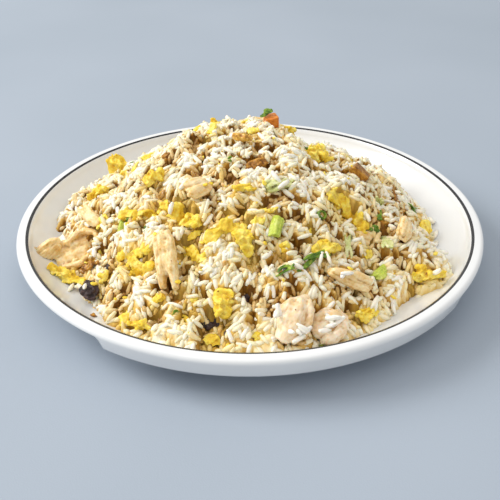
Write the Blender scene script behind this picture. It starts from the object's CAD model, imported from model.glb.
import itertools
import math
from collections import namedtuple

import bmesh
import bpy
import numpy as np
from mathutils import Matrix, Vector
from mathutils.bvhtree import BVHTree


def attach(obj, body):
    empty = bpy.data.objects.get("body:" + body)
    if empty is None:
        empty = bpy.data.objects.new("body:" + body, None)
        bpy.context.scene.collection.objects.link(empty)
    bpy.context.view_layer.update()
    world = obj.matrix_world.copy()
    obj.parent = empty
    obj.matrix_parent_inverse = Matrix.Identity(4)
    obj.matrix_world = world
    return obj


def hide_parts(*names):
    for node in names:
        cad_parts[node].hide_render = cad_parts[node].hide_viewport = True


# Looks of the fried rice on its deep plate.  Lengths are in millimetres until a mesh is
# made.  The heap's outline and the places of its larger pieces come from the frame.

MM = 0.001

# --------------------------------------------------------------- plate, as in the frame
PLATE_RADIUS = 130.4
PLATE_HEIGHT = 25.5
LINE_RADIUS = 124.5  # the dark line, where the flat rim turns down into the well
LINE_WIDTH = 1.6
RIM_ROUNDING = 2.4
WELL_DEPTH = 18.0
WELL_FLOOR_RADIUS = 92.0
WELL_CURVE = (2.6, 0.8)
SKIRT_DEPTH = 11.1
SKIRT_RADIUS = 128.3
SKIRT_THICKNESS = 3.2
CUTOUT_DEPTH = 5.0
CUTOUT_COUNT = 3
CUTOUT_FIRST = -19.5
CUTOUT_HALF_ANGLE = 17.0
CUTOUT_ROUNDING = 1.6  # degrees over which a cut-out's end rises
OUTER_WALL = ((122.0, 8.6), (118.6, 14.6), (110.0, 19.6), (97.0, 21.8))
FOOT_OUTER_RADIUS = 84.0
FOOT_WIDTH = 5.0
FOOT_HEIGHT = 3.4
PLATE_SEGMENTS = 288

# ----------------------------------------------------------------------------- the heap
CELL = 0.65  # of the height maps
MAP_HALF = 132.0
CORE_DEPTH = (3.0, 6.0)  # from the grains' tops down to the core, in clumps and gaps
FUSED_DEPTH = 1.8  # how far the fused grains stay below the loose ones
STICKY_DEPTH = 1.1  # how far the loose grains stand out of the paste that joins them
Clumps = namedtuple("Clumps", "size relief seed")
LARGE_CLUMPS = Clumps(21.0, 3.5, 10)
CLUMPS = Clumps(11.5, 6.5, 11)
SMALL_CLUMPS = Clumps(5.6, 2.2, 12)
PITS = Clumps(9.5, 6.5, 13)  # dark holes between clumps; their relief is their depth
PIT_SPREAD = 0.36  # a pit's radius, as a share of the spacing
PIT_SHARE = 0.55
Lump = namedtuple("Lump", "x y radius height")
LUMPS = (  # rice pressed together, in smoother and whiter lumps
    Lump(22, -13, 9, 2.6),
    Lump(3, -31, 8, 1.4),
    Lump(30, -33, 7, 1.2),
    Lump(-64, -44, 8, 1.6),
    Lump(-48, -48, 8, 1.8),
    Lump(-54, -76, 7, 1.4),
    Lump(-38, -99, 10, 1.8),
    Lump(-14, -76, 10, 1.6),
    Lump(28, -81, 7, 1.8),
    Lump(74, -62, 9, 2.2),
    Lump(7, -103, 7, 1.4),
    Lump(54, -14, 8, 1.4),
    Lump(-38, -24, 7, 1.2),
    Lump(-6, 60, 12, 1.8),
    Lump(50, 60, 9, 1.6),
    Lump(-60, 40, 9, 1.6),
    Lump(94, -30, 6, 1.2),
    Lump(103, -44, 8, 2.0),
)
Hole = namedtuple("Hole", "x y radius")
HOLES = (  # the deepest gaps, dark inside
    Hole(2, -16, 4.5),
    Hole(12, -18, 5.0),
    Hole(-8, -13, 3.5),
    Hole(-12, -50, 4.0),
    Hole(10, -45, 3.5),
    Hole(-32, -67, 5.0),
    Hole(-20, -95, 6.0),
    Hole(-12, -97, 4.0),
    Hole(-1, -87, 4.5),
    Hole(58, -60, 6.0),
    Hole(48, -84, 5.0),
    Hole(15, -71, 4.5),
    Hole(33, -60, 4.0),
    Hole(20, -88, 4.0),
    Hole(-74, -47, 5.0),
    Hole(-92, -39, 6.0),
    Hole(-44, -47, 4.0),
    Hole(-50, -88, 4.0),
    Hole(-36, -84, 4.0),
    Hole(62, -42, 5.0),
    Hole(80, -20, 4.0),
    Hole(30, 5, 4.0),
    Hole(-20, 40, 5.0),
    Hole(40, 70, 5.0),
)

# --------------------------------------------------------------------------- the grains
FUSED_COUNT = 7000  # grains that show only as relief on the core
GRAIN_COUNT = 10400
GRAIN_LENGTH = (5.0, 8.4)
GRAIN_THICKNESS = (2.3, 2.9)
GRAIN_SHAPES = 16
GRAIN_SIDES = 6
GRAIN_RINGS = 4
BROKEN_SHARE = 0.25
UPRIGHT_SHARE = 0.35
GRAINS_ON_FOOD = 50
FOOT_GRAINS = 110

# ---------------------------------------------------------------------------- the camera
LENS = 59.04
CAMERA_PLACE = (0.0, -0.4080, 0.2585)
CAMERA_PITCH = 32.27  # degrees below the horizontal
CAMERA_ROLL = -0.33


# ------------------------------------------------------------------------------- helpers
def noise3(points, seed=0):
    """Smooth noise from about -1 to 1 at points (n, 3), one unit to a swell."""
    points = np.asarray(points, float)
    cell = np.floor(points).astype(np.int64)
    inside = points - cell
    ease = inside**3 * (inside * (inside * 6 - 15) + 10)
    total = np.zeros(len(points))
    for corner in itertools.product((0, 1), repeat=3):
        corner = np.array(corner)
        key = (cell + corner) @ np.array((73856093, 19349663, 83492791)) + seed * 7919
        key = (key ^ (key >> 13)) * 1274126177
        key = (key ^ (key >> 16)) & 0xFFFF
        turn = key / 65536.0 * 2 * math.pi
        rise = ((key * 40503) & 0xFFFF) / 32768.0 - 1.0
        flat = np.sqrt(1.0 - rise**2)
        gradient = np.stack((flat * np.cos(turn), flat * np.sin(turn), rise), 1)
        weight = np.where(corner, ease, 1.0 - ease).prod(1)
        total += weight * (gradient * (inside - corner)).sum(1)
    return total * 1.7


def new_object(name, mesh, material, slot=None):
    """Link a piece, give it its material, and let it ride on the dish."""
    thing = bpy.data.objects.new(name, mesh)
    bpy.context.scene.collection.objects.link(thing)
    if material is not None:
        mesh.materials.append(material)
    if slot:
        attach(thing, "root")
    return thing


def triangle_mesh(name, verts, tris):
    """A smooth mesh from numpy arrays, in millimetres."""
    mesh = bpy.data.meshes.new(name)
    mesh.vertices.add(len(verts))
    mesh.vertices.foreach_set("co", (np.asarray(verts) * MM).astype(np.float32).ravel())
    mesh.loops.add(len(tris) * 3)
    mesh.loops.foreach_set("vertex_index", np.asarray(tris, np.int32).ravel())
    mesh.polygons.add(len(tris))
    mesh.polygons.foreach_set("loop_start", np.arange(0, len(tris) * 3, 3, dtype=np.int32))
    mesh.update(calc_edges=True)
    mesh.shade_smooth()
    return mesh


def set_attribute(mesh, name, values):
    attribute = mesh.attributes.new(name, "FLOAT", "POINT")
    attribute.data.foreach_set("value", np.asarray(values, np.float32))


def ring_faces(rings, count, first=0):
    """Triangles between equally long closed rings of vertices, numbered ring by ring."""
    i = np.arange(count)
    j = (i + 1) % count
    tris = []
    for k in range(rings - 1):
        a = first + k * count
        b = a + count
        tris.append(np.stack((a + i, a + j, b + j), 1))
        tris.append(np.stack((a + i, b + j, b + i), 1))
    return np.concatenate(tris)


def fan_faces(tip, ring_start, count, flip=False):
    i = ring_start + np.arange(count)
    j = ring_start + (np.arange(count) + 1) % count
    tip = np.full(count, tip)
    return np.stack((tip, j, i) if flip else (tip, i, j), 1)


# ----------------------------------------------------------------------------- materials
class Look:
    """Builds one Principled material with a few pattern nodes."""

    def __init__(self, name, **sockets):
        self.material = bpy.data.materials.new(name)
        self.material.use_nodes = True
        self.nodes = self.material.node_tree.nodes
        self.links = self.material.node_tree.links
        self.shader = self.nodes["Principled BSDF"]
        self.place = self.nodes.new("ShaderNodeTexCoord").outputs["Object"]
        for socket, value in sockets.items():
            self.shader.inputs[socket.replace("_", " ")].default_value = value

    def noise(self, size_mm, detail=2.0, distortion=0.0, stretch=None):
        """Noise with swells of about this size."""
        node = self.nodes.new("ShaderNodeTexNoise")
        node.inputs["Scale"].default_value = 1000.0 / size_mm
        node.inputs["Detail"].default_value = detail
        node.inputs["Distortion"].default_value = distortion
        place = self.place
        if stretch:
            mapping = self.nodes.new("ShaderNodeMapping")
            mapping.inputs["Scale"].default_value = stretch
            self.links.new(place, mapping.inputs["Vector"])
            place = mapping.outputs["Vector"]
        self.links.new(place, node.inputs["Vector"])
        return node.outputs["Fac"]

    def attribute(self, name):
        node = self.nodes.new("ShaderNodeAttribute")
        node.attribute_name = name
        return node.outputs["Fac"]

    def ramp(self, value, stops):
        """Colour stops as (position, (r, g, b))."""
        node = self.nodes.new("ShaderNodeValToRGB")
        elements = node.color_ramp.elements
        while len(elements) < len(stops):
            elements.new(0.5)
        for element, (position, colour) in zip(elements, stops):
            element.position = position
            element.color = (*colour, 1.0)
        self.links.new(value, node.inputs["Fac"])
        return node.outputs["Color"]

    def mix(self, factor, first, second, blend="MIX"):
        node = self.nodes.new("ShaderNodeMix")
        node.data_type = "RGBA"
        node.blend_type = blend
        for socket, value in (("Factor", factor), ("A", first), ("B", second)):
            found = [s for s in node.inputs if s.name == socket and s.enabled][0]
            if isinstance(value, bpy.types.NodeSocket):
                self.links.new(value, found)
            elif isinstance(value, tuple):
                found.default_value = (*value, 1.0)
            else:
                found.default_value = value
        return [s for s in node.outputs if s.enabled][0]

    def span(self, value, low, high, start=0.3, end=0.7):
        node = self.nodes.new("ShaderNodeMapRange")
        node.inputs["From Min"].default_value = start
        node.inputs["From Max"].default_value = end
        node.inputs["To Min"].default_value = low
        node.inputs["To Max"].default_value = high
        self.links.new(value, node.inputs["Value"])
        return node.outputs["Result"]

    def colour(self, value):
        self.links.new(value, self.shader.inputs["Base Color"])

    def roughness(self, value):
        self.links.new(value, self.shader.inputs["Roughness"])

    def bump(self, *layers):
        """Layers as (value, height in millimetres)."""
        normal = None
        for value, height in layers:
            node = self.nodes.new("ShaderNodeBump")
            node.inputs["Distance"].default_value = height * MM
            self.links.new(value, node.inputs["Height"])
            if normal is not None:
                self.links.new(normal, node.inputs["Normal"])
            normal = node.outputs["Normal"]
        self.links.new(normal, self.shader.inputs["Normal"])


def flesh(weight, scale_mm, radius=(1.0, 0.6, 0.35)):
    """Socket values of light that sinks into moist food."""
    return {
        "Subsurface_Weight": weight,
        "Subsurface_Scale": scale_mm * MM,
        "Subsurface_Radius": radius,
    }


def glaze_look():
    look = Look("white_glaze", Roughness=0.1, IOR=1.52, Coat_Weight=0.3, Coat_Roughness=0.05)
    tone = look.noise(34.0, detail=3.0)
    look.colour(look.ramp(tone, ((0.3, (0.765, 0.78, 0.795)), (0.7, (0.815, 0.83, 0.84)))))
    look.roughness(look.span(look.noise(9.0, detail=4.0), 0.09, 0.2))
    look.bump((look.noise(14.0, detail=1.0), 0.05))
    return look.material


def line_look():
    look = Look("rim_line_glaze", Roughness=0.14, IOR=1.5)
    tone = look.noise(5.0, detail=3.0)
    look.colour(look.ramp(tone, ((0.3, (0.012, 0.013, 0.016)), (0.75, (0.03, 0.032, 0.036)))))
    look.roughness(look.span(tone, 0.12, 0.24))
    look.bump((look.noise(2.0, detail=1.0), 0.01))
    return look.material


EGG_STAIN = (0.90, 0.66, 0.13)


def rice_look(name, dark, middle, light, rough, inner_glow):
    """A kind of grain: each grain has its own tint, and its ends are cloudier."""
    look = Look(name, IOR=1.42, **flesh(inner_glow, 1.1))
    tint = look.attribute("tint")
    tone = look.ramp(tint, ((0.0, dark), (0.45, middle), (1.0, light)))
    cloud = look.span(look.noise(1.6, detail=2.0), 0.0, 0.35)
    tone = look.mix(cloud, tone, tuple(min(1.0, c * 1.06) for c in light))
    look.colour(look.mix(look.attribute("stain"), tone, EGG_STAIN))
    look.roughness(look.span(look.noise(2.6, detail=2.0), rough[0], rough[1]))
    look.bump((look.noise(0.9, detail=2.0), 0.05))
    return look.material


def core_look():
    look = Look("rice_core", Specular_IOR_Level=0.15, **flesh(0.1, 0.8))
    tone = look.mix(0.12, look.attribute("tint"), look.noise(2.4, detail=3.0))
    stops = (
        (0.0, (0.08, 0.025, 0.002)),
        (0.2, (0.34, 0.15, 0.012)),
        (0.42, (0.74, 0.48, 0.13)),
        (0.62, (0.90, 0.74, 0.42)),
        (0.85, (0.94, 0.88, 0.68)),
    )
    stain = look.mix(0.35, (0.0, 0.0, 0.0), look.attribute("stain"))
    look.colour(look.mix(stain, look.ramp(tone, stops), EGG_STAIN))
    look.roughness(look.span(look.noise(2.6, detail=2.0), 0.3, 0.55))
    look.bump((look.noise(2.4, detail=2.0), 0.2), (look.noise(0.8), 0.1))
    return look.material


# --------------------------------------------------------------------------------- plate
def well_height(radius):
    """Height of the plate's upper face at a distance from its centre."""
    share = np.clip((radius - WELL_FLOOR_RADIUS) / (LINE_RADIUS - WELL_FLOOR_RADIUS), 0.0, 1.0)
    drop = (1.0 - share ** WELL_CURVE[0]) ** WELL_CURVE[1]
    return PLATE_HEIGHT - WELL_DEPTH * drop


def skirt_depth(azimuth):
    """How far the skirt hangs down, with finger cut-outs whose ends are rounded."""
    depth = np.full(azimuth.shape, SKIRT_DEPTH)
    for i in range(CUTOUT_COUNT):
        middle = CUTOUT_FIRST + 360.0 * i / CUTOUT_COUNT
        off = np.abs((azimuth - middle + 180.0) % 360.0 - 180.0)
        rise = np.clip((CUTOUT_HALF_ANGLE - off) / CUTOUT_ROUNDING, 0.0, 1.0)
        rise = rise * rise * (3.0 - 2.0 * rise)
        depth -= (SKIRT_DEPTH - CUTOUT_DEPTH) * rise
    return depth


def build_plate():
    """A turned plate: each section point is a ring, and only the skirt varies round it."""
    top = PLATE_HEIGHT
    section = [(radius, float(well_height(radius))) for radius in (30.0, 60.0, 84.0)]
    for i in range(25):
        radius = WELL_FLOOR_RADIUS + (LINE_RADIUS - LINE_WIDTH - WELL_FLOOR_RADIUS) * i / 24
        section.append((radius, float(well_height(radius))))
    line_start = len(section)
    half = LINE_WIDTH / 2
    section += [
        (LINE_RADIUS - half, top - 0.5),
        (LINE_RADIUS, top - 0.12),
        (LINE_RADIUS + half, top),
    ]
    line_end = len(section) - 1
    section += [(LINE_RADIUS + 1.4, top + 0.03), (PLATE_RADIUS - RIM_ROUNDING - 0.8, top)]
    for i in range(9):
        turn = math.radians(90.0 - 105.0 * i / 8)
        across = RIM_ROUNDING * (math.cos(turn) - 1.0)
        down = RIM_ROUNDING * (math.sin(turn) - 1.0)
        section.append((PLATE_RADIUS + across, top + down))
    foot_inside = FOOT_OUTER_RADIUS - FOOT_WIDTH
    skirt_inside = SKIRT_RADIUS - SKIRT_THICKNESS
    skirt = [
        (PLATE_RADIUS - 0.6, 0.45),
        (SKIRT_RADIUS + 0.1, 0.9),
        (SKIRT_RADIUS - 0.25, 0.975),
        (SKIRT_RADIUS - 0.9, 1.0),
        (skirt_inside + 0.6, 1.0),
        (skirt_inside, 0.95),
    ]
    skirt_first = len(section)
    section += [(radius, top - SKIRT_DEPTH * share) for radius, share in skirt]
    skirt_last = len(section)
    section.append((skirt_inside - 0.6, top - CUTOUT_DEPTH + 0.4))
    section += [(radius, top - depth) for radius, depth in OUTER_WALL]
    under = top - OUTER_WALL[-1][1]
    section += [
        (FOOT_OUTER_RADIUS + 1.2, under - 0.2),
        (FOOT_OUTER_RADIUS + 0.2, under - 1.2),
        (FOOT_OUTER_RADIUS, 0.6),
        (FOOT_OUTER_RADIUS - 0.6, 0.0),
        (foot_inside + 0.6, 0.0),
        (foot_inside, 0.6),
        (foot_inside - 0.4, FOOT_HEIGHT - 1.0),
        (foot_inside - 1.6, FOOT_HEIGHT),
        (40.0, FOOT_HEIGHT),
    ]
    azimuth = np.arange(PLATE_SEGMENTS) * 360.0 / PLATE_SEGMENTS
    turn = np.radians(azimuth)
    depth = skirt_depth(azimuth)
    rings = []
    for k, (radius, height) in enumerate(section):
        z = np.full(PLATE_SEGMENTS, height)
        if skirt_first <= k < skirt_last:
            z = top - RIM_ROUNDING - (depth - RIM_ROUNDING) * (top - height - RIM_ROUNDING) / (
                SKIRT_DEPTH - RIM_ROUNDING
            )
        rings.append(np.stack((radius * np.cos(turn), radius * np.sin(turn), z), 1))
    verts = np.concatenate(rings + [[(0.0, 0.0, top - WELL_DEPTH)], [(0.0, 0.0, FOOT_HEIGHT)]])
    count = len(section) * PLATE_SEGMENTS
    last = count - PLATE_SEGMENTS
    tris = np.concatenate(
        (
            ring_faces(len(section), PLATE_SEGMENTS)[:, ::-1],
            fan_faces(count, 0, PLATE_SEGMENTS),
            fan_faces(count + 1, last, PLATE_SEGMENTS, flip=True),
        )
    )
    plate = new_object("glazed_plate", triangle_mesh("glazed_plate", verts, tris), glaze_look(), "glazed_plate")
    plate.data.materials.append(line_look())
    band = np.zeros(len(tris), np.int32)
    band[line_start * 2 * PLATE_SEGMENTS : line_end * 2 * PLATE_SEGMENTS] = 1
    plate.data.polygons.foreach_set("material_index", band)
    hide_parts("plate")
    return plate


# -------------------------------------------------------------------------- height maps
def node_tree(*names):
    """One search tree of several CAD nodes, in millimetres."""
    verts = []
    faces = []
    for name in names:
        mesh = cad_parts[name].data
        first = len(verts)
        verts += [v.co / MM for v in mesh.vertices]
        faces += [[first + i for i in p.vertices] for p in mesh.polygons]
    return BVHTree.FromPolygons(verts, faces)


MAP_COUNT = int(2 * MAP_HALF / CELL)
AXIS = (np.arange(MAP_COUNT) + 0.5) * CELL - MAP_HALF


def height_map(tree, step=2):
    """Heights of the tree's top on the map; where there is none, nan."""
    coarse = AXIS[::step]
    heights = np.full((len(coarse), len(coarse)), np.nan)
    down = Vector((0.0, 0.0, -1.0))
    for i, x in enumerate(coarse):
        for j, y in enumerate(coarse):
            if x * x + y * y < LINE_RADIUS**2:
                hit = tree.ray_cast(Vector((x, y, 200.0)), down)[0]
                if hit is not None:
                    heights[i, j] = hit.z
    return np.repeat(np.repeat(heights, step, 0), step, 1)[:MAP_COUNT, :MAP_COUNT]


def smoothed(values, times=2):
    for _ in range(times):
        padded = np.pad(values, 1, mode="edge")
        values = (
            padded[:-2, 1:-1] + padded[2:, 1:-1] + padded[1:-1, :-2] + padded[1:-1, 2:]
        ) / 8 + values / 2
    return values


def widened(values, times):
    """Each cell takes the highest value around it, step by step."""
    for k in range(times):
        padded = np.pad(values, 1, mode="edge")
        near = [padded[:-2, 1:-1], padded[2:, 1:-1], padded[1:-1, :-2], padded[1:-1, 2:]]
        if k % 2:
            near += [padded[:-2, :-2], padded[2:, :-2], padded[:-2, 2:], padded[2:, 2:]]
        values = np.maximum.reduce([values] + near)
    return values


def cells(points):
    return np.clip(((points + MAP_HALF) / CELL).astype(int), 0, MAP_COUNT - 1)


def clump_bumps(x, y, clumps, spread=0.62):
    """Rounded clumps: 1 at their middles, 0 in the gaps; and a random value of each."""
    rng = np.random.default_rng(clumps.seed)
    size = clumps.size
    reach = int(2 * MAP_HALF / size) + 3
    jitter = rng.uniform(0.05, 0.95, (reach, reach, 2))
    weight = rng.uniform(0.45, 1.0, (reach, reach))
    mark = rng.uniform(0.0, 1.0, (reach, reach))
    warp = 0.22 * size
    points = np.stack((x, y, np.zeros(x.shape)), -1).reshape(-1, 3) / (0.55 * size)
    x = x + warp * noise3(points, clumps.seed + 50).reshape(x.shape)
    y = y + warp * noise3(points, clumps.seed + 51).reshape(x.shape)
    cx = np.floor((x + MAP_HALF) / size).astype(int)
    cy = np.floor((y + MAP_HALF) / size).astype(int)
    best = np.zeros(x.shape)
    own = np.full(x.shape, 0.5)
    for dx, dy in itertools.product((-1, 0, 1), repeat=2):
        ix = np.clip(cx + dx, 0, reach - 1)
        iy = np.clip(cy + dy, 0, reach - 1)
        px = (ix + jitter[ix, iy, 0]) * size - MAP_HALF
        py = (iy + jitter[ix, iy, 1]) * size - MAP_HALF
        far = ((x - px) ** 2 + (y - py) ** 2) / (spread * size) ** 2
        height = weight[ix, iy] * np.sqrt(np.clip(1.0 - far, 0.0, 1.0))
        own = np.where(height > best, mark[ix, iy], own)
        best = np.maximum(best, height)
    return best, own


def lump_domes(x, y):
    """Heights and shares of the pressed lumps, with uneven outlines."""
    points = np.stack((x, y, np.zeros(x.shape)), -1).reshape(-1, 3) / 5.0
    x = x + 3.2 * noise3(points, 31).reshape(x.shape)
    y = y + 3.2 * noise3(points, 32).reshape(x.shape)
    rise = np.zeros(x.shape)
    share = np.zeros(x.shape)
    for lump in LUMPS:
        far = ((x - lump.x) ** 2 + (y - lump.y) ** 2) / lump.radius**2
        dome = np.sqrt(np.clip(1.0 - far, 0.0, 1.0))
        rise = np.maximum(rise, lump.height * dome)
        share = np.maximum(share, np.clip(1.2 * dome, 0.0, 0.6))
    return rise, share


class Heap:
    """The heap's height maps: the plate below, the outline, the relief and the core."""

    def __init__(self):
        x, y = np.meshgrid(AXIS, AXIS, indexing="ij")
        self.ground = well_height(np.hypot(x, y))
        found = height_map(node_tree("rice"))
        top = np.where(np.isnan(found), self.ground, found)
        self.outline = np.maximum(smoothed(top, 6), self.ground)
        large, _ = clump_bumps(x, y, LARGE_CLUMPS)
        middle, self.clump = clump_bumps(x, y, CLUMPS)
        small, _ = clump_bumps(x, y, SMALL_CLUMPS)
        pits, pit_mark = clump_bumps(x, y, PITS, PIT_SPREAD)
        pits[pit_mark > PIT_SHARE] = 0.0
        rise, self.paste = lump_domes(x, y)
        relief = LARGE_CLUMPS.relief * (large - 0.6)
        relief += CLUMPS.relief * (middle - 0.66)
        relief += SMALL_CLUMPS.relief * (small - 0.6)
        relief -= PITS.relief * np.minimum(1.4 * pits, 1.0)
        relief += (rise - relief) * self.paste
        for hole in HOLES:
            far = ((x - hole.x) ** 2 + (y - hole.y) ** 2) / hole.radius**2
            relief -= (relief + PITS.relief) * np.clip(1.3 - 1.3 * far, 0.0, 1.0)
        room = np.clip((self.outline - self.ground) / 8.0, 0.0, 1.0)
        relief = smoothed(relief, 3) * room
        heaped = self.outline > self.ground + 0.8
        self.limit = np.where(heaped, np.maximum(self.outline + relief, self.ground), self.ground)
        fullness = smoothed(np.clip(middle * 1.5 - 0.45, 0.0, 1.0), 3)
        depth = CORE_DEPTH[1] + (CORE_DEPTH[0] - CORE_DEPTH[1]) * fullness
        depth *= np.clip((self.outline - self.ground) / 14.0, 0.1, 1.0)
        self.core = np.maximum(self.limit - depth, self.ground)
        self.crown = self.outline + smoothed(widened(relief, 7), 6)
        self.slope_x, self.slope_y = np.gradient(smoothed(self.limit, 4), CELL)
        self.pile = self.core.copy()
        self.tint = np.full(x.shape, 0.2)
        self.stain = np.zeros(x.shape)

    def height_share(self, points):
        """How deep points lie under the tops of the clumps around them."""
        return sample(self.crown, points[:, 0], points[:, 1]) - points[:, 2]


def sample(values, x, y):
    """Bilinear reading of a map at points."""
    u = np.clip((np.asarray(x) + MAP_HALF) / CELL - 0.5, 0, MAP_COUNT - 1.001)
    v = np.clip((np.asarray(y) + MAP_HALF) / CELL - 0.5, 0, MAP_COUNT - 1.001)
    i = u.astype(int)
    j = v.astype(int)
    fu = u - i
    fv = v - j
    return (
        values[i, j] * (1 - fu) * (1 - fv)
        + values[i + 1, j] * fu * (1 - fv)
        + values[i, j + 1] * (1 - fu) * fv
        + values[i + 1, j + 1] * fu * fv
    )


def map_faces(filled):
    """Two triangles for each cell of the map whose corners are all filled."""
    i, j = np.nonzero(filled[:-1, :-1] & filled[1:, :-1] & filled[:-1, 1:] & filled[1:, 1:])
    a = i * MAP_COUNT + j
    b = a + MAP_COUNT
    return np.concatenate((np.stack((a, b, b + 1), 1), np.stack((a, b + 1, a + 1), 1)))


def build_core(heap, bed):
    """The heap's inside, with the grains that stick together in relief."""
    x, y = np.meshgrid(AXIS, AXIS, indexing="ij")
    points = np.stack((x, y, np.zeros(x.shape)), -1).reshape(-1, 3)
    patches = noise3(points / 9.0, 21).reshape(x.shape)
    deep = np.clip((heap.crown - heap.pile - 2.0) / 4.0, 0.0, 1.0)
    sunk = STICKY_DEPTH + 0.9 * np.clip(patches + 0.3, 0.0, 1.0) + 1.2 * deep
    sunk += (0.5 - sunk) * heap.paste
    top = np.maximum(bed, smoothed(heap.pile, 1) - sunk)
    filled = top > heap.ground + 0.25
    for axis, way in itertools.product((0, 1), (-1, 1)):
        filled |= np.roll(filled, way, axis)
    height = np.where(top > heap.ground + 0.1, top, heap.ground - 0.3)
    verts = np.stack((x, y, height), -1).reshape(-1, 3)
    tris = map_faces(filled)
    used, tris = np.unique(tris, return_inverse=True)
    mesh = triangle_mesh("rice_core", verts[used], tris.reshape(-1, 3))
    steep = np.hypot(*np.gradient(smoothed(top, 2), CELL))
    steep = np.clip(steep - 1.0, 0.0, 1.4) * np.clip((heap.outline - heap.ground - 4.0) / 8.0, 0.0, 1.0)
    tint = 0.55 - 0.1 * (heap.crown - top) - 0.22 * steep + 0.3 * (smoothed(heap.tint, 1) - 0.5)
    tint += 0.2 * (heap.clump - 0.5) + 0.25 * heap.paste
    set_attribute(mesh, "tint", np.clip(tint, 0.0, 1.0).ravel()[used])
    set_attribute(mesh, "stain", heap.stain.ravel()[used])
    core = new_object("rice_core", mesh, core_look(), "rice")
    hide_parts("rice")
    return core


# -------------------------------------------------------------------------------- grains
def grain_shape(rng):
    """One cooked grain along X, 1 long and 1 thick: bent, blunt, thicker towards one end."""
    bend = rng.uniform(-0.22, 0.22)
    taper = rng.uniform(0.0, 0.22)
    waist = rng.uniform(-0.06, 0.1)
    flat = rng.uniform(0.78, 0.92)
    verts = [(-0.5, bend * 0.5, 0.0)]
    for k in range(GRAIN_RINGS):
        along = -math.cos(math.pi * (k + 0.5) / GRAIN_RINGS)
        girth = (1.0 - abs(along) ** 8.0) ** 0.5 * (1.0 - taper * along)
        girth *= 1.0 - waist * math.exp(-((along / 0.4) ** 2))
        shift = bend * (along**2) * 0.5
        for side in range(GRAIN_SIDES):
            turn = 2 * math.pi * (side + 0.5 * (k % 2)) / GRAIN_SIDES
            swell = girth * rng.uniform(0.92, 1.06) * 0.5
            verts.append((along * 0.5, shift + swell * math.cos(turn), swell * flat * math.sin(turn)))
    verts.append((0.5, bend * 0.5, 0.0))
    last = 1 + GRAIN_RINGS * GRAIN_SIDES
    tris = np.concatenate(
        (
            ring_faces(GRAIN_RINGS, GRAIN_SIDES, first=1),
            fan_faces(0, 1, GRAIN_SIDES, flip=True),
            fan_faces(last, last - GRAIN_SIDES, GRAIN_SIDES),
        )
    )
    return np.array(verts), tris


Grain = namedtuple("Grain", "x y z heading slope length thick")


def drop_grain(heap, rng, x, y, length, thick):
    """Let a grain come to rest on the pile, more or less flat on its clump."""
    at = cells(np.array(x)), cells(np.array(y))
    turn = rng.normal(heap.clump[at] * 40.0, 0.9)
    normal = np.array((-heap.slope_x[at], -heap.slope_y[at], 1.0))
    normal /= np.linalg.norm(normal)
    along = np.cross(normal, (-math.sin(turn), math.cos(turn), 0.0))
    along = along / np.linalg.norm(along)
    along += normal * rng.normal(0.0, 0.6 if rng.random() < UPRIGHT_SHARE else 0.2)
    reach = max(math.hypot(along[0], along[1]), 1e-3)
    heading = math.atan2(along[1], along[0])
    slope = float(np.clip(along[2] / reach, -2.5, 2.5))
    s = np.linspace(-0.42, 0.42, 7) * length / math.hypot(1.0, slope)
    rest = heap.pile[cells(x + s * math.cos(heading)), cells(y + s * math.sin(heading))] - slope * s
    z = 0.6 * float(rest.max()) + 0.4 * float(rest.mean()) + thick * rng.uniform(-0.15, 0.2)
    return Grain(x, y, z, heading, slope, length, thick)


def stamp_grain(heap, grain, tint):
    """Raise the pile to the grain's upper side, which shows the grain's tint."""
    half = int(0.6 * grain.length / CELL) + 2
    i = int((grain.x + MAP_HALF) / CELL)
    j = int((grain.y + MAP_HALF) / CELL)
    rows = slice(max(i - half, 0), i + half + 1)
    columns = slice(max(j - half, 0), j + half + 1)
    dx = AXIS[rows][:, None] - grain.x
    dy = AXIS[columns][None, :] - grain.y
    along = dx * math.cos(grain.heading) + dy * math.sin(grain.heading)
    across = dy * math.cos(grain.heading) - dx * math.sin(grain.heading)
    steep = math.hypot(1.0, grain.slope)
    share = (2.0 * along * steep / grain.length) ** 2 + (2.0 * across / grain.thick) ** 2
    crown = 0.44 * grain.thick * steep * np.sqrt(np.clip(1.0 - share, 0.0, None))
    top = np.where(share < 1.0, grain.z + grain.slope * along + crown, -1.0)
    window = heap.pile[rows, columns]
    heap.tint[rows, columns][top > window] = tint
    np.maximum(window, top, out=window)


def lay_grains(heap, rng, count, limit, blocked):
    """Pour grains until the heap is filled to its limit."""
    grains = []
    steep = np.hypot(1.0, np.hypot(*np.gradient(heap.outline, CELL)))
    for _ in range(14):
        wanted = np.clip(limit - heap.pile, 0.0, 2.5)
        wanted[limit <= heap.ground + 0.3] = 0.0
        chance = (wanted * steep).ravel()
        total = chance.sum()
        if total < 1.0 or len(grains) >= count:
            break
        for pick in rng.choice(chance.size, size=3000, p=chance / total):
            x = AXIS[pick // MAP_COUNT] + rng.uniform(-0.3, 0.3)
            y = AXIS[pick % MAP_COUNT] + rng.uniform(-0.3, 0.3)
            length = rng.uniform(*GRAIN_LENGTH)
            if rng.random() < BROKEN_SHARE:
                length *= rng.uniform(0.5, 0.75)
            grain = drop_grain(heap, rng, x, y, length, rng.uniform(*GRAIN_THICKNESS))
            if grain.z > limit.ravel()[pick] + 0.5 or blocked(grain):
                continue
            stamp_grain(heap, grain, rng.uniform())
            grains.append(grain)
            if len(grains) >= count:
                break
    return grains


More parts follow.
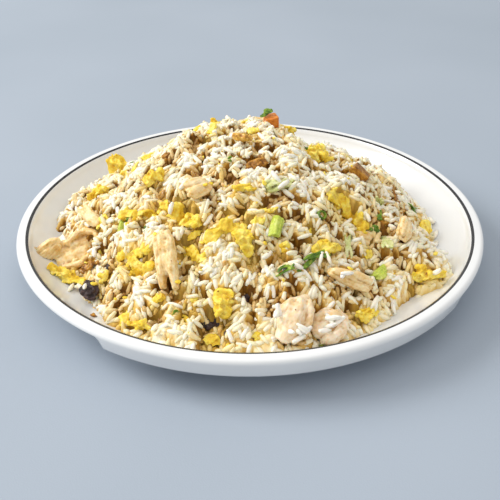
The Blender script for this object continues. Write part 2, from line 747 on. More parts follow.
def grain_matrices(grains, rng):
    """Rotation and scale of each grain, as (n, 3, 3)."""
    heading = np.array([g.heading for g in grains])
    slope = np.array([g.slope for g in grains])
    roll = rng.uniform(0.0, 2 * math.pi, len(grains))
    along = np.stack((np.cos(heading), np.sin(heading), slope), 1)
    along /= np.linalg.norm(along, axis=1)[:, None]
    across = np.stack((-np.sin(heading), np.cos(heading), np.zeros(len(grains))), 1)
    up = np.cross(along, across)
    side = across * np.cos(roll)[:, None] + up * np.sin(roll)[:, None]
    third = np.cross(along, side)
    length = np.array([g.length for g in grains])[:, None]
    thick = np.array([g.thick for g in grains])[:, None]
    return np.stack((along * length, side * thick, third * thick), 2)


def build_grains(name, grains, tints, stains, shapes, material, rng):
    matrices = grain_matrices(grains, rng)
    places = np.array([(g.x, g.y, g.z) for g in grains])
    kinds = rng.integers(len(shapes), size=len(grains))
    verts = []
    tris = []
    tint = []
    stain = []
    first = 0
    for kind, (shape, faces) in enumerate(shapes):
        chosen = np.flatnonzero(kinds == kind)
        placed = np.einsum("nij,vj->nvi", matrices[chosen], shape) + places[chosen][:, None, :]
        offsets = first + np.arange(len(chosen)) * len(shape)
        verts.append(placed.reshape(-1, 3))
        tris.append((faces[None, :, :] + offsets[:, None, None]).reshape(-1, 3))
        tint.append(np.repeat(tints[chosen], len(shape)))
        stain.append(np.repeat(stains[chosen], len(shape)))
        first += len(chosen) * len(shape)
    mesh = triangle_mesh(name, np.concatenate(verts), np.concatenate(tris))
    set_attribute(mesh, "tint", np.concatenate(tint))
    set_attribute(mesh, "stain", np.concatenate(stain))
    return new_object(name, mesh, material, "rice")


RiceKind = namedtuple("RiceKind", "name dark middle light rough glow")
RICE_KINDS = (
    RiceKind("rice_white", (0.84, 0.70, 0.40), (0.93, 0.87, 0.69), (0.95, 0.91, 0.82), (0.26, 0.46), 0.14),
    RiceKind("rice_pearl", (0.78, 0.58, 0.25), (0.91, 0.83, 0.58), (0.95, 0.90, 0.75), (0.18, 0.36), 0.22),
    RiceKind("rice_cream", (0.62, 0.34, 0.06), (0.91, 0.75, 0.41), (0.94, 0.86, 0.60), (0.18, 0.38), 0.22),
    RiceKind("rice_glossy", (0.34, 0.14, 0.01), (0.82, 0.58, 0.19), (0.91, 0.76, 0.38), (0.14, 0.3), 0.24),
)


def build_rice(heap, cover):
    """First the stuck grains, which are the core's relief, and then the loose ones."""
    rng = np.random.default_rng(2)
    shapes = [grain_shape(rng) for _ in range(GRAIN_SHAPES)]
    room = np.clip((heap.outline - heap.ground) / 10.0, 0.0, 1.0)
    lay_grains(heap, rng, FUSED_COUNT, heap.limit - FUSED_DEPTH * room, lambda grain: False)
    bed = heap.pile.copy()
    grains = lay_grains(heap, rng, GRAIN_COUNT, heap.limit, cover.blocks)
    build_core(heap, bed)
    grains += scatter_over(heap, cover, rng)
    grains += scatter_foot(heap, rng)
    places = np.array([(g.x, g.y, g.z) for g in grains])
    depth = heap.height_share(places)
    patches = noise3(places / 17.0, seed=5)
    fine = rng.normal(0.0, 1.0, len(grains))
    at = cells(places[:, 0]), cells(places[:, 1])
    whiteness = 0.5 * patches + 0.5 * heap.clump[at] + 0.5 * heap.paste[at] + 0.5 * fine - 0.3 * depth
    stains = heap.stain[at] * rng.uniform(0.0, 0.7, len(grains))
    order = np.argsort(whiteness)
    shares = (0.16, 0.3, 0.27, 0.27)  # glossy, cream, pearl, white
    cuts = np.cumsum([int(round(share * len(grains))) for share in shares])[:-1]
    for kind, chosen in zip(reversed(RICE_KINDS), np.split(order, cuts)):
        picked = [grains[k] for k in chosen]
        tints = 0.52 + 0.22 * rng.normal(size=len(picked)) - 0.11 * (depth[chosen] - 1.2)
        tints = np.clip(tints, 0.0, 1.0)
        look = rice_look(kind.name, kind.dark, kind.middle, kind.light, kind.rough, kind.glow)
        build_grains(kind.name, picked, tints, stains[chosen], shapes, look, rng)


# ----------------------------------------------------------------------- soft solid forms
def face_normals(verts, tris):
    a, b, c = (verts[tris[:, k]] for k in range(3))
    return np.cross(b - a, c - a)


def point_normals(verts, tris):
    faces = face_normals(verts, tris)
    total = np.zeros(verts.shape)
    for k in range(3):
        np.add.at(total, tris[:, k], faces)
    return total / np.maximum(np.linalg.norm(total, axis=1), 1e-9)[:, None]


def roughened(verts, tris, *layers):
    """Push points along their normals by noise; layers are (height, size, seed)."""
    normals = point_normals(verts, tris)
    push = sum(height * noise3(verts / size, seed) for height, size, seed in layers)
    return verts + normals * push[:, None]


def fibres(verts, seed, across=1.4, along=8.0):
    """Noise drawn out along X, in two widths that do not fall in step."""
    turned = verts @ np.array(((1.0, 0.0, 0.0), (0.0, 0.8, 0.6), (0.0, -0.6, 0.8)))
    wide = noise3(turned / (along, across, across), seed)
    fine = noise3(verts / (0.55 * along, 0.6 * across, 0.6 * across) + 13.7, seed + 1)
    return wide + 0.6 * fine


def hollows(verts, tris, times=4):
    """How far each point lies inside a crease or a dent, 0 to 1."""
    pairs = np.concatenate((tris[:, (0, 1)], tris[:, (1, 2)], tris[:, (2, 0)]))
    weight = np.bincount(pairs.ravel(), minlength=len(verts))[:, None]
    soft = verts
    for _ in range(times):
        total = np.zeros(verts.shape)
        np.add.at(total, pairs[:, 0], soft[pairs[:, 1]])
        np.add.at(total, pairs[:, 1], soft[pairs[:, 0]])
        soft = total / np.maximum(weight, 1)
    inward = ((soft - verts) * point_normals(verts, tris)).sum(1)
    return np.clip(inward / 0.3, 0.0, 1.0)


def creased(verts, tris, height, size, seed):
    """Push points so that the surface breaks into ridges with creases between them."""
    ridge = 0.5 - 2.0 * np.abs(noise3(verts / size, seed))
    return verts + point_normals(verts, tris) * (height * ridge)[:, None]


def strand(path, widths, thicks, sides=10, cup=0.0, up=(0.0, 0.0, 1.0)):
    """A closed body along a path, with oval sections; cup bends the sections into a gutter."""
    path = np.asarray(path, float)
    tangent = np.gradient(path, axis=0)
    tangent /= np.linalg.norm(tangent, axis=1)[:, None]
    across = np.cross(np.asarray(up, float), tangent)
    across /= np.maximum(np.linalg.norm(across, axis=1), 1e-6)[:, None]
    above = np.cross(tangent, across)
    turn = np.arange(sides) * 2 * math.pi / sides
    w = np.cos(turn)[None, :] * np.asarray(widths)[:, None] / 2
    t = np.sin(turn)[None, :] * np.asarray(thicks)[:, None] / 2
    cup = np.broadcast_to(np.asarray(cup, float), len(path))
    t = t + cup[:, None] * w**2 / np.maximum(np.asarray(widths)[:, None], 1e-6)
    rings = path[:, None, :] + w[..., None] * across[:, None, :] + t[..., None] * above[:, None, :]
    verts = np.concatenate((rings.reshape(-1, 3), [path[0] - tangent[0] * 0.1, path[-1] + tangent[-1] * 0.1]))
    count = len(path) * sides
    tris = np.concatenate(
        (
            ring_faces(len(path), sides),
            fan_faces(count, 0, sides, flip=True),
            fan_faces(count + 1, count - sides, sides),
        )
    )
    return verts, tris


def curve(points, count=24):
    """A smooth path through a few points."""
    points = np.asarray(points, float)
    steps = np.linalg.norm(np.diff(points, axis=0), axis=1)
    reach = np.concatenate(([0.0], np.cumsum(steps)))
    s = np.linspace(0.0, reach[-1], count)
    path = np.stack([np.interp(s, reach, points[:, k]) for k in range(3)], 1)
    for _ in range(max(1, count // len(points))):
        path[1:-1] = (path[:-2] + path[2:]) / 4 + path[1:-1] / 2
    return path


def ribbon(rng, length, width, thick, lift):
    """A limp torn strip that wanders, swells and curls up at one edge or the other."""
    s = np.linspace(0.0, 1.0, 24)
    seed = int(rng.integers(1000))
    line = np.stack((s * 3.0, s * 0.0, s * 0.0), 1)
    side = 0.34 * width * noise3(line + 7.3, seed)
    rise = lift * noise3(line * 1.4 + 3.1, seed + 1)
    path = np.stack(((s - 0.5) * length, side, rise), 1)
    taper = np.clip(np.sin(math.pi * (0.07 + 0.86 * s)), 0.0, 1.0) ** 0.5
    broad = width * taper * (0.8 + 0.4 * noise3(line * 1.9 + 11.0, seed + 2))
    cup = 2.6 * noise3(line * 1.2 + 5.0, seed + 3)
    return strand(path, broad, np.full(24, thick), sides=18, cup=cup)


def flake(rng, size_x, size_y, thick, crumple, curl, rings=8, spokes=26):
    """A torn, crumpled sheet with a ragged outline, lying flat about the origin."""
    seed = int(rng.integers(1000))
    turn = np.arange(spokes) * 2 * math.pi / spokes
    around = np.stack((np.cos(turn), np.sin(turn), np.zeros(spokes)), 1)
    edge = 1.0 + 0.26 * noise3(around * 1.3, seed) + 0.12 * noise3(around * 3.7, seed + 1)
    upper = []
    lower = []
    for k in range(1, rings + 1):
        share = k / rings
        flat = around * (edge * share)[:, None] * (size_x / 2, size_y / 2, 0.0)
        fold = crumple * noise3(flat / 3.6, seed + 2) + 0.5 * crumple * noise3(flat / 1.9, seed + 3)
        height = fold + curl * share**2 + 0.35 * curl * noise3(around * 1.1, seed + 4) * share
        body = 0.5 * thick * (1.0 - 0.75 * share**6)
        upper.append(flat + np.stack((0 * height, 0 * height, height + body), 1))
        lower.append(flat + np.stack((0 * height, 0 * height, height - body), 1))
    middle = upper[0].mean(0)
    verts = np.concatenate([[middle]] + upper + lower[::-1] + [[middle - (0, 0, thick)]])
    count = 2 * rings
    tris = np.concatenate(
        (
            fan_faces(0, 1, spokes),
            ring_faces(count, spokes, first=1)[:, ::-1],
            fan_faces(1 + count * spokes, 1 + (count - 1) * spokes, spokes, flip=True),
        )
    )
    return verts, tris


def moved(part, place=(0, 0, 0), heading=0.0, tilt=0.0, roll=0.0):
    verts, tris = part
    turn = (
        Matrix.Rotation(math.radians(heading), 3, "Z")
        @ Matrix.Rotation(math.radians(tilt), 3, "Y")
        @ Matrix.Rotation(math.radians(roll), 3, "X")
    )
    return verts @ np.array(turn).T + np.asarray(place, float), tris


def fused(parts, voxel=0.5, smooth=2):
    """One skin over overlapping bodies, with soft joints between them."""
    mesh = bpy.data.meshes.new("parts")
    first = 0
    verts = []
    tris = []
    for points, faces in parts:
        verts.append(points)
        tris.append(faces + first)
        first += len(points)
    mesh.from_pydata(np.concatenate(verts).tolist(), [], np.concatenate(tris).tolist())
    thing = bpy.data.objects.new("parts", mesh)
    bpy.context.scene.collection.objects.link(thing)
    remesh = thing.modifiers.new("skin", "REMESH")
    remesh.mode = "VOXEL"
    remesh.voxel_size = voxel
    soften = thing.modifiers.new("soften", "SMOOTH")
    soften.iterations = smooth
    soften.factor = 0.5
    bpy.context.view_layer.update()
    result = bpy.data.meshes.new_from_object(thing.evaluated_get(bpy.context.evaluated_depsgraph_get()))
    result.calc_loop_triangles()
    points = np.zeros(len(result.vertices) * 3, np.float32)
    result.vertices.foreach_get("co", points)
    faces = np.zeros(len(result.loop_triangles) * 3, np.int32)
    result.loop_triangles.foreach_get("vertices", faces)
    bpy.data.objects.remove(thing, do_unlink=True)
    bpy.data.meshes.remove(mesh)
    bpy.data.meshes.remove(result)
    return points.reshape(-1, 3).astype(float), faces.reshape(-1, 3)


def fitted(part, length, width, thick):
    """Scale a body about the origin to exactly this size."""
    verts, tris = part
    low = verts.min(0)
    high = verts.max(0)
    size = np.array((length, width, thick))
    return (verts - (low + high) / 2) / (high - low) * size, tris


# -------------------------------------------------------------------------- food pieces
def egg_body(rng, length, width, thick):
    """Soft scrambled egg: torn sheets that fold and lie over each other."""
    sheet = 0.24 * thick + 0.4
    parts = [moved(ribbon(rng, 0.96 * length, 0.8 * width, sheet, 0.5 * thick), (0, -0.06 * width, 0), roll=15)]
    count = 1 if length < 11 else 2
    for k in range(count):
        reach = length * rng.uniform(0.5, 0.72)
        part = ribbon(rng, reach, width * rng.uniform(0.5, 0.75), sheet, 0.25 * thick)
        along = (k + 0.5) / count - 0.5
        place = (along * 0.5 * length, rng.uniform(-0.1, 0.25) * width, rng.uniform(0.0, 0.35) * thick)
        parts.append(moved(part, place, rng.normal(0, 35), rng.normal(0, 14), rng.normal(0, 32)))
    crumb = flake(rng, 0.5 * length, 0.8 * width, sheet, 0.2 * thick, 0.3 * thick)
    parts.append(moved(crumb, (rng.uniform(-0.2, 0.2) * length, 0, -0.1 * thick), rng.normal(0, 30)))
    verts, tris = egg_skin(rng, parts)
    return fitted((verts, tris), length, width, thick)


def egg_skin(rng, parts):
    """Joins torn sheets of egg and puckers them."""
    verts, tris = fused(parts, voxel=0.5, smooth=1)
    seed = int(rng.integers(1000))
    verts = creased(verts, tris, 0.95, 5.6, seed)
    verts = creased(verts, tris, 0.32, 2.4, seed + 1)
    verts = roughened(verts, tris, (0.2, 1.6, seed + 2), (0.07, 0.8, seed + 3))
    return verts, tris


def egg_strips(heap, rng, strips):
    """Long torn sheets of egg that follow the rice, with frills along them."""
    surface = smoothed(heap.limit, 4)
    parts = []
    for strip in strips:
        path = curve([(x, y, 0.0) for x, y in strip.points], 26)
        middle = path[13]
        lying = lying_on_heap(heap, middle[0], middle[1], 0.0, (1.0, 1.0, 1.0))
        seed = int(rng.integers(1000))
        swell = noise3(path / 6.0, seed)
        s = np.linspace(0.0, 1.0, 26)
        taper = np.clip(np.sin(math.pi * (0.06 + 0.88 * s)), 0.0, 1.0) ** 0.5
        path[:, 2] = sample(surface, path[:, 0], path[:, 1]) + 2.4 + 2.0 * noise3(path / 5.0, seed + 1)
        broad = strip.width * taper * (1.05 + 0.5 * swell)
        cup = 2.4 * noise3(path / 7.0, seed + 2)
        parts.append(strand(path, broad, np.full(26, 2.1), sides=18, cup=cup, up=lying.axes[2]))
        for k in range(3):
            place = path[int(rng.integers(4, 22))]
            size = (strip.width * rng.uniform(0.9, 1.3), strip.width * rng.uniform(0.5, 0.8), 2.0)
            frill = ribbon(rng, size[0], size[1], size[2], 1.6)
            frill = moved(frill, roll=rng.normal(0, 35))
            lying = lying_on_heap(heap, place[0], place[1], rng.uniform(0, 360), size)
            parts.append((frill[0] @ lying.axes + place, frill[1]))
    return egg_skin(rng, parts)


def chicken_body(rng, length, width, thick, split=0.0):
    """A strip of cooked breast: bundles of fibres side by side, torn off at the ends."""
    parts = []
    bundles = 5 if width < 9 else 7
    for k in range(bundles):
        angle = 2 * math.pi * k / bundles + rng.uniform(-0.3, 0.3)
        out = 0.0 if k == 0 else rng.uniform(0.5, 0.75)
        side = out * math.cos(angle) * width * 0.4
        rise = out * math.sin(angle) * thick * 0.3
        start = -0.5 * length * rng.uniform(0.72, 1.0)
        end = 0.5 * length * rng.uniform(0.72, 1.0)
        s = np.linspace(0.0, 1.0, 14)
        x = start + (end - start) * s
        spread = 1.0 + split * np.clip(-x / length, 0.0, 0.5) * 2.0
        y = side * spread + rng.normal(0, 0.06) * width * np.sin(3.0 * s + k)
        z = rise + 0.12 * thick * np.sin(2.4 * s + k)
        girth = np.clip(np.sin(math.pi * (0.06 + 0.88 * s)), 0.0, 1.0) ** 0.45
        parts.append(strand(np.stack((x, y, z), 1), girth * width * 0.42, girth * thick * 0.55, sides=8))
    verts, tris = fused(parts, voxel=0.5, smooth=3)
    seed = int(rng.integers(1000))
    push = 0.22 * fibres(verts, seed) + 0.35 * noise3(verts / 3.4, seed + 1)
    verts = verts + point_normals(verts, tris) * push[:, None]
    return fitted((verts, tris), length, width, thick)


def folded_chicken(rng, length, width, thick):
    """A flat strip whose thin edge is rolled over into a loop, with a slit inside it."""
    size = (length, width, thick)
    slab = curve(((-0.47, 0.05, 0.0), (-0.3, 0.18, 0.0), (0.0, 0.16, -0.05), (0.2, 0.2, -0.15)))
    middle = curve(((-0.42, -0.12, 0.0), (-0.15, -0.12, 0.0), (0.08, -0.04, -0.05), (0.2, 0.04, -0.2)))
    rim = ((-0.34, -0.32, 0.1), (0.0, -0.4, 0.22), (0.3, -0.24, 0.25), (0.44, 0.02, 0.15))
    rim += ((0.36, 0.3, 0.1), (0.14, 0.4, 0.12), (-0.08, 0.3, 0.2), (-0.16, 0.18, 0.15))
    taper = np.clip(np.sin(math.pi * np.linspace(0.1, 0.9, 24)), 0.0, 1.0) ** 0.4
    parts = [
        strand(slab * size, 0.42 * width * taper, 0.5 * thick * taper, sides=14),
        strand(middle * size, 0.4 * width * taper, 0.45 * thick * taper, sides=14),
        strand(curve(rim, 40) * size, np.full(40, 0.17 * width), np.full(40, 0.5 * thick)),
    ]
    verts, tris = fused(parts, voxel=0.45, smooth=3)
    seed = int(rng.integers(1000))
    verts = creased(verts, tris, 0.32, 6.0, seed)
    verts = roughened(verts, tris, (0.3, 3.2, seed + 1), (0.1, 1.4, seed + 2))
    return fitted((verts, tris), length, width, thick)


def forked_chicken(rng, length, width, thick):
    """A thick strip torn into two short legs at its lower end."""
    size = (length, width, thick)
    s = np.linspace(0.0, 1.0, 24)
    taper = np.clip(np.sin(math.pi * (0.06 + 0.88 * s)), 0.0, 1.0) ** 0.4
    swell = width * (0.4 + 0.12 * np.clip(2.6 * s - 0.5, 0.0, 1.0))
    left = ((-0.5, -0.24, 0.0), (-0.34, -0.27, 0.05), (0.0, -0.24, 0.1), (0.3, -0.24, 0.0), (0.47, -0.2, -0.1))
    right = ((-0.42, 0.3, -0.1), (-0.28, 0.25, 0.0), (0.0, 0.2, 0.05), (0.3, 0.2, 0.0), (0.44, 0.12, 0.0))
    front = ((-0.26, -0.02, 0.0), (0.0, -0.04, 0.14), (0.25, -0.02, 0.16), (0.5, 0.04, -0.1))
    cap = ((0.26, -0.36, 0.0), (0.36, 0.0, 0.15), (0.3, 0.34, 0.0))
    parts = [
        strand(curve(left) * size, swell * taper, 0.75 * thick * taper),
        strand(curve(right) * size, swell * taper, 0.7 * thick * taper),
        strand(curve(front) * size, 0.5 * width * taper, 0.6 * thick * taper),
        strand(curve(cap) * size, 0.34 * width * taper, 0.6 * thick * taper, up=(0.2, 0.1, 1.0)),
    ]
    verts, tris = fused(parts, voxel=0.45, smooth=2)
    seed = int(rng.integers(1000))
    push = 0.26 * fibres(verts, seed, 1.8) + 0.4 * noise3(verts / 4.0, seed + 1)
    verts = verts + point_normals(verts, tris) * push[:, None]
    verts = creased(verts, tris, 0.25, 4.0, seed + 2)
    return fitted((verts, tris), length, width, thick)


def chicken_chunk(rng, length, width, thick):
    """A plump end of breast meat with a fold down one side and a lobe on the other."""
    size = (length, width, thick)
    s = np.linspace(0.0, 1.0, 20)
    body = np.clip(np.sin(math.pi * (0.05 + 0.9 * s)), 0.0, 1.0) ** 0.55
    main = ((-0.48, 0.06, 0.0), (-0.15, 0.03, 0.06), (0.2, 0.04, 0.0), (0.47, -0.05, -0.05))
    fold = ((-0.42, -0.26, -0.05), (-0.12, -0.33, 0.08), (0.18, -0.26, 0.1), (0.4, -0.1, 0.0))
    lobe = ((-0.2, 0.24, -0.1), (0.05, 0.33, 0.0), (0.3, 0.24, 0.05))
    parts = [
        strand(curve(main, 20) * size, 0.72 * width * body * (1.12 - 0.3 * s), 0.86 * thick * body, sides=16),
        strand(curve(fold, 20) * size, 0.32 * width * body, 0.66 * thick * body, sides=12),
        strand(curve(lobe, 20) * size, 0.32 * width * body, 0.6 * thick * body, sides=12),
    ]
    parts = [moved(part, roll=rng.normal(0, 12), tilt=rng.normal(0, 8)) for part in parts]
    verts, tris = fused(parts, voxel=0.5, smooth=3)
    seed = int(rng.integers(1000))
    push = 0.16 * fibres(verts, seed) + 0.6 * noise3(verts / 5.0, seed + 1)
    push += 0.3 * noise3(verts / 2.4, seed + 2)
    verts = verts + point_normals(verts, tris) * push[:, None]
    verts = creased(verts, tris, 0.3, 5.0, seed + 3)
    return fitted((verts, tris), length, width, thick)


def dice_body(rng, length, width, thick, rounding=0.16):
    """A hand-cut dice with uneven faces and softened edges."""
    steps = np.linspace(-1.0, 1.0, 9)
    parts = []
    half = np.array((length, width, thick)) / 2
    corners = rng.uniform(-0.12, 0.12, (2, 2, 2, 3))
    grid = []
    for u, v, w in itertools.product(steps, repeat=3):
        if max(abs(u), abs(v), abs(w)) > 0.999:
            grid.append((u, v, w))
    grid = np.array(grid)
    weight = (grid + 1) / 2
    shift = np.zeros(grid.shape)
    for i, j, k in itertools.product((0, 1), repeat=3):
        share = np.prod(np.where((i, j, k), weight, 1 - weight), axis=1)
        shift += share[:, None] * corners[i, j, k]
    hull = bpy.data.meshes.new("dice")
    bm = bmesh.new()
    for point in (grid + shift) * half:
        bm.verts.new(point)
    bmesh.ops.convex_hull(bm, input=bm.verts[:])
    bmesh.ops.triangulate(bm, faces=bm.faces[:])
    bmesh.ops.delete(bm, geom=[v for v in bm.verts if not v.link_faces], context="VERTS")
    bm.to_mesh(hull)
    bm.free()
    verts = np.array([v.co for v in hull.vertices], float)
    tris = np.array([p.vertices for p in hull.polygons])
    bpy.data.meshes.remove(hull)
    parts.append((verts, tris))
    verts, tris = fused(parts, voxel=0.42, smooth=max(1, int(rounding * 18)))
    seed = int(rng.integers(1000))
    verts = roughened(verts, tris, (0.16, 2.4, seed), (0.07, 0.9, seed + 1))
    return fitted((verts, tris), length, width, thick)


def mushroom_body(rng, length, width, thick):
    """A shrivelled slice of dark wood-ear: a thick crumpled flake."""
    parts = [
        flake(rng, length, width, 0.5 * thick, 0.22 * thick, 0.2 * thick),
        moved(flake(rng, 0.8 * length, 0.9 * width, 0.4 * thick, 0.3 * thick, 0.1), (0.4, 0, 0.24 * thick), 70, 14, 8),
    ]
    verts, tris = fused(parts, voxel=0.45, smooth=1)
    seed = int(rng.integers(1000))
    verts = roughened(verts, tris, (0.35, 1.7, seed), (0.15, 0.8, seed + 1))
    return fitted((verts, tris), length, width, thick)


def stalk_body(rng, length, width, thick):
    """A cut length of spring onion stalk: curved sheaths round each other, split open."""
    s = np.linspace(-0.5, 0.5, 12)
    bend = 0.04 * length * (1 - 4 * s**2)
    path = np.stack((s * length, bend, 0 * s), 1)
    outer = strand(path, np.full(12, width), np.full(12, 0.42 * thick), sides=14, cup=-0.9)
    inner = strand(path * (0.94, 1, 1) + (0.3, 0, -0.3 * thick), np.full(12, 0.7 * width), np.full(12, 0.5 * thick), sides=12, cup=-0.5)
    verts, tris = fused([outer, inner], voxel=0.36, smooth=1)
    ribs = noise3(verts / (12.0, 1.3, 1.3), 7)
    verts = verts + point_normals(verts, tris) * (0.45 * ribs)[:, None]
    return fitted((verts, tris), length, width, thick)


def leaf_body(rng, length, width, thick, strips=3):
    """Green leaf, cut into strips that lie across each other and fold lengthwise."""
    parts = []
    for k in range(strips):
        s = np.linspace(-0.5, 0.5, 16)
        reach = length * (1.0 if k == 0 else rng.uniform(0.5, 0.75))
        wave = 0.1 * length * np.sin(5.0 * s + k)
        path = np.stack((s * reach, wave * 0.5, 0.25 * thick * np.sin(4 * s + 2 * k)), 1)
        broad = 0.62 * width * (1.0 - 0.5 * np.abs(2 * s) ** 3)
        part = strand(path, broad, np.full(16, 0.8), sides=12, cup=rng.uniform(-0.9, 0.9))
        offset = ((k - (strips - 1) / 2) * 0.3 * length / strips, (k % 2 - 0.5) * 0.4 * width, 0.2 * thick * k)
        parts.append(moved(part, offset, rng.normal(0, 16), 0, rng.normal(0, 30)))
    verts, tris = fused(parts, voxel=0.36, smooth=1)
    ribs = noise3(np.stack((verts[:, 0] / 9.0, verts[:, 1] / 0.7, verts[:, 2] / 0.9), 1), 9)
    verts = verts + point_normals(verts, tris) * (0.09 * ribs)[:, None]
    return fitted((verts, tris), length, width, thick)


def shred_body(rng, length, width, thick):
    """Pale shredded cabbage: limp translucent strips with a rib along them."""
    parts = []
    for k in range(3):
        s = np.linspace(-0.5, 0.5, 18)
        wave = 0.07 * length * np.sin(6.0 * s + 2.2 * k)
        path = np.stack((s * length * rng.uniform(0.8, 1.0), wave + (k - 1) * 0.25 * width, 0.2 * thick * np.cos(5 * s + k)), 1)
        broad = width * rng.uniform(0.32, 0.5) * (1.0 - 0.4 * np.abs(2 * s) ** 4)
        parts.append(strand(path, broad, np.full(18, 1.1), sides=10, cup=rng.uniform(-0.8, 0.8)))
    verts, tris = fused(parts, voxel=0.4, smooth=1)
    seed = int(rng.integers(1000))
    verts = roughened(verts, tris, (0.22, 2.0, seed), (0.1, 0.9, seed + 1))
    return fitted((verts, tris), length, width, thick)


def ring_body(rng, length, width, thick):
    """A thin slice across a hollow leaf: an uneven ring."""
    turn = np.linspace(0, 2 * math.pi, 25)
    wall = 0.24 * min(length, width)
    x = (length - wall) / 2 * np.cos(turn)
    y = (width - wall) / 2 * np.sin(turn)
    path = np.stack((x, y, 0.1 * thick * np.sin(2 * turn)), 1)
    part = strand(path, np.full(25, wall), np.full(25, 0.8 * thick), sides=8)
    verts, tris = fused([part], voxel=0.3, smooth=1)
    return fitted((verts, tris), length, width, thick)


# ---------------------------------------------------------------------- where food lies
Lying = namedtuple("Lying", "centre axes size")


def lying_of_node(name):
    """A CAD piece's middle, its own axes (longest first, up last) and its size along them."""
    verts = np.array([v.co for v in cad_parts[name].data.vertices], float) / MM
    axes = np.linalg.svd(verts - verts.mean(0), full_matrices=False)[2]
    if axes[2, 2] < 0:
        axes[2] *= -1
    if axes[0, 2] < 0:
        axes[0] *= -1
    axes[1] = np.cross(axes[2], axes[0])
    along = verts @ axes.T
    low = along.min(0)
    high = along.max(0)
    return Lying((low + high) / 2 @ axes, axes, high - low)


def lying_on_heap(heap, x, y, heading, size, sink=0.35):
    """Where a small piece rests on the heap, turned to the slope there."""
    step = 3.0
    slope_x = (sample(heap.limit, x + step, y) - sample(heap.limit, x - step, y)) / (2 * step)
    slope_y = (sample(heap.limit, x, y + step) - sample(heap.limit, x, y - step)) / (2 * step)
    up = np.array((-slope_x, -slope_y, 1.0))
    up /= np.linalg.norm(up)
    along = np.array((math.cos(math.radians(heading)), math.sin(math.radians(heading)), 0.0))
    along -= up * (along @ up)
    along /= np.linalg.norm(along)
    middle = np.array((x, y, float(sample(heap.limit, x, y)))) + up * size[2] * (0.5 - sink)
    return Lying(middle, np.stack((along, np.cross(up, along), up)), np.array(size, float))


def laid(heap, piece):
    """Where a larger piece lies, told by its own axes."""
    along = np.array(piece.along, float)
    along /= np.linalg.norm(along)
    up = np.array(piece.up, float)
    up -= along * (along @ up)
    up /= np.linalg.norm(up)
    middle = np.array((piece.x, piece.y, float(sample(heap.limit, piece.x, piece.y)) + piece.rise))
    return Lying(middle, np.stack((along, np.cross(up, along), up)), np.array(piece.size, float))


# larger pieces whose outline the plain solids only hint at: place, rise of the middle
# above the rice, direction of the long axis, direction of the upper side, size
Laid = namedtuple("Laid", "x y rise along up size")
LAID = {
    "chicken_01": Laid(-95, -26, 5.5, (1.0, 0.1, 0.36), (-0.25, -0.7, 0.7), (31, 21, 9)),
    "chicken_02": Laid(-111, -25, 4.5, (1.0, 0.25, 0.75), (-0.4, -0.6, 0.6), (17, 10, 9)),
    "chicken_03": Laid(-88, -15, 3.0, (0.45, -0.6, -0.1), (-0.3, -0.4, 0.8), (19, 8, 6)),
    "egg_01": Laid(-81, 42, 4.0, (0.8, -0.1, 0.5), (0.1, -0.8, 0.5), (15, 15, 6)),
    "carrot_01": Laid(12.5, 27, 1.6, (1.0, 0.25, 0.1), (0.0, -0.15, 1.0), (8, 7.5, 7.5)),
    "greens_top": Laid(9.5, 27, 6.6, (0.9, 0.2, 0.15), (0.0, -0.5, 1.0), (8, 5, 2.4)),
}


# pieces of egg that are long and bent, as paths over the rice
Strip = namedtuple("Strip", "width points")
STRIPS = {
    "egg_04": (Strip(8, ((-58, -35), (-52, -33), (-46, -34), (-38, -43))),),
    "egg_05": (Strip(11, ((-39, -43), (-32, -47), (-25, -55))),),
    "egg_06": (
        Strip(7, ((-22, -64), (-14, -61), (-6, -58))),
        Strip(8, ((-7, -57), (-4, -64), (-1, -72))),
    ),
    "egg_07": (Strip(5, ((-31, -61), (-27, -66), (-22, -71))),),
    "egg_08": (
        Strip(6, ((-68, -52), (-59, -53), (-50, -60))),
        Strip(7, ((-64, -55), (-56, -62), (-48, -67))),
    ),
    "egg_09": (Strip(9, ((-108, -38), (-98, -42), (-87, -49))),),
    "egg_15": (
        Strip(9, ((41, -36), (47, -29), (53, -31))),
        Strip(8, ((50, -28), (55, -33), (60, -41))),
    ),
}


class Cover:
    """What lies on the rice: its upper and lower sides as maps, for the grains to keep to."""

    def __init__(self):
        self.top = np.full((MAP_COUNT, MAP_COUNT), -1.0)
        self.bottom = np.full((MAP_COUNT, MAP_COUNT), 999.0)
        self.egg = np.zeros((MAP_COUNT, MAP_COUNT))

    def add(self, verts, is_egg):
        at = cells(verts[:, 0]), cells(verts[:, 1])
        np.maximum.at(self.top, at, verts[:, 2])
        np.minimum.at(self.bottom, at, verts[:, 2])
        if is_egg:
            self.egg[at] = 1.0

    def blocks(self, grain):
        """True if the grain would run into a piece, or hide it from above."""
        s = np.linspace(-0.4, 0.4, 5) * grain.length
        i = cells(grain.x + s * math.cos(grain.heading))
        j = cells(grain.y + s * math.sin(grain.heading))
        z = grain.z + grain.slope * s
        return int(((self.top[i, j] > 0) & (z > self.bottom[i, j] - 0.6)).sum()) > 1


def scatter_over(heap, cover, rng):
    """A few grains that lie on the edges of the larger pieces."""
    on = cover.top > 0
    inner = on.copy()
    for axis, way in itertools.product((0, 1), (-2, 2)):
        inner &= np.roll(on, way, axis)
    edge = np.flatnonzero((on & ~inner).ravel())
    heap.pile = np.maximum(heap.pile, cover.top)
    return drop_some(heap, rng, rng.choice(edge, size=GRAINS_ON_FOOD, replace=False))


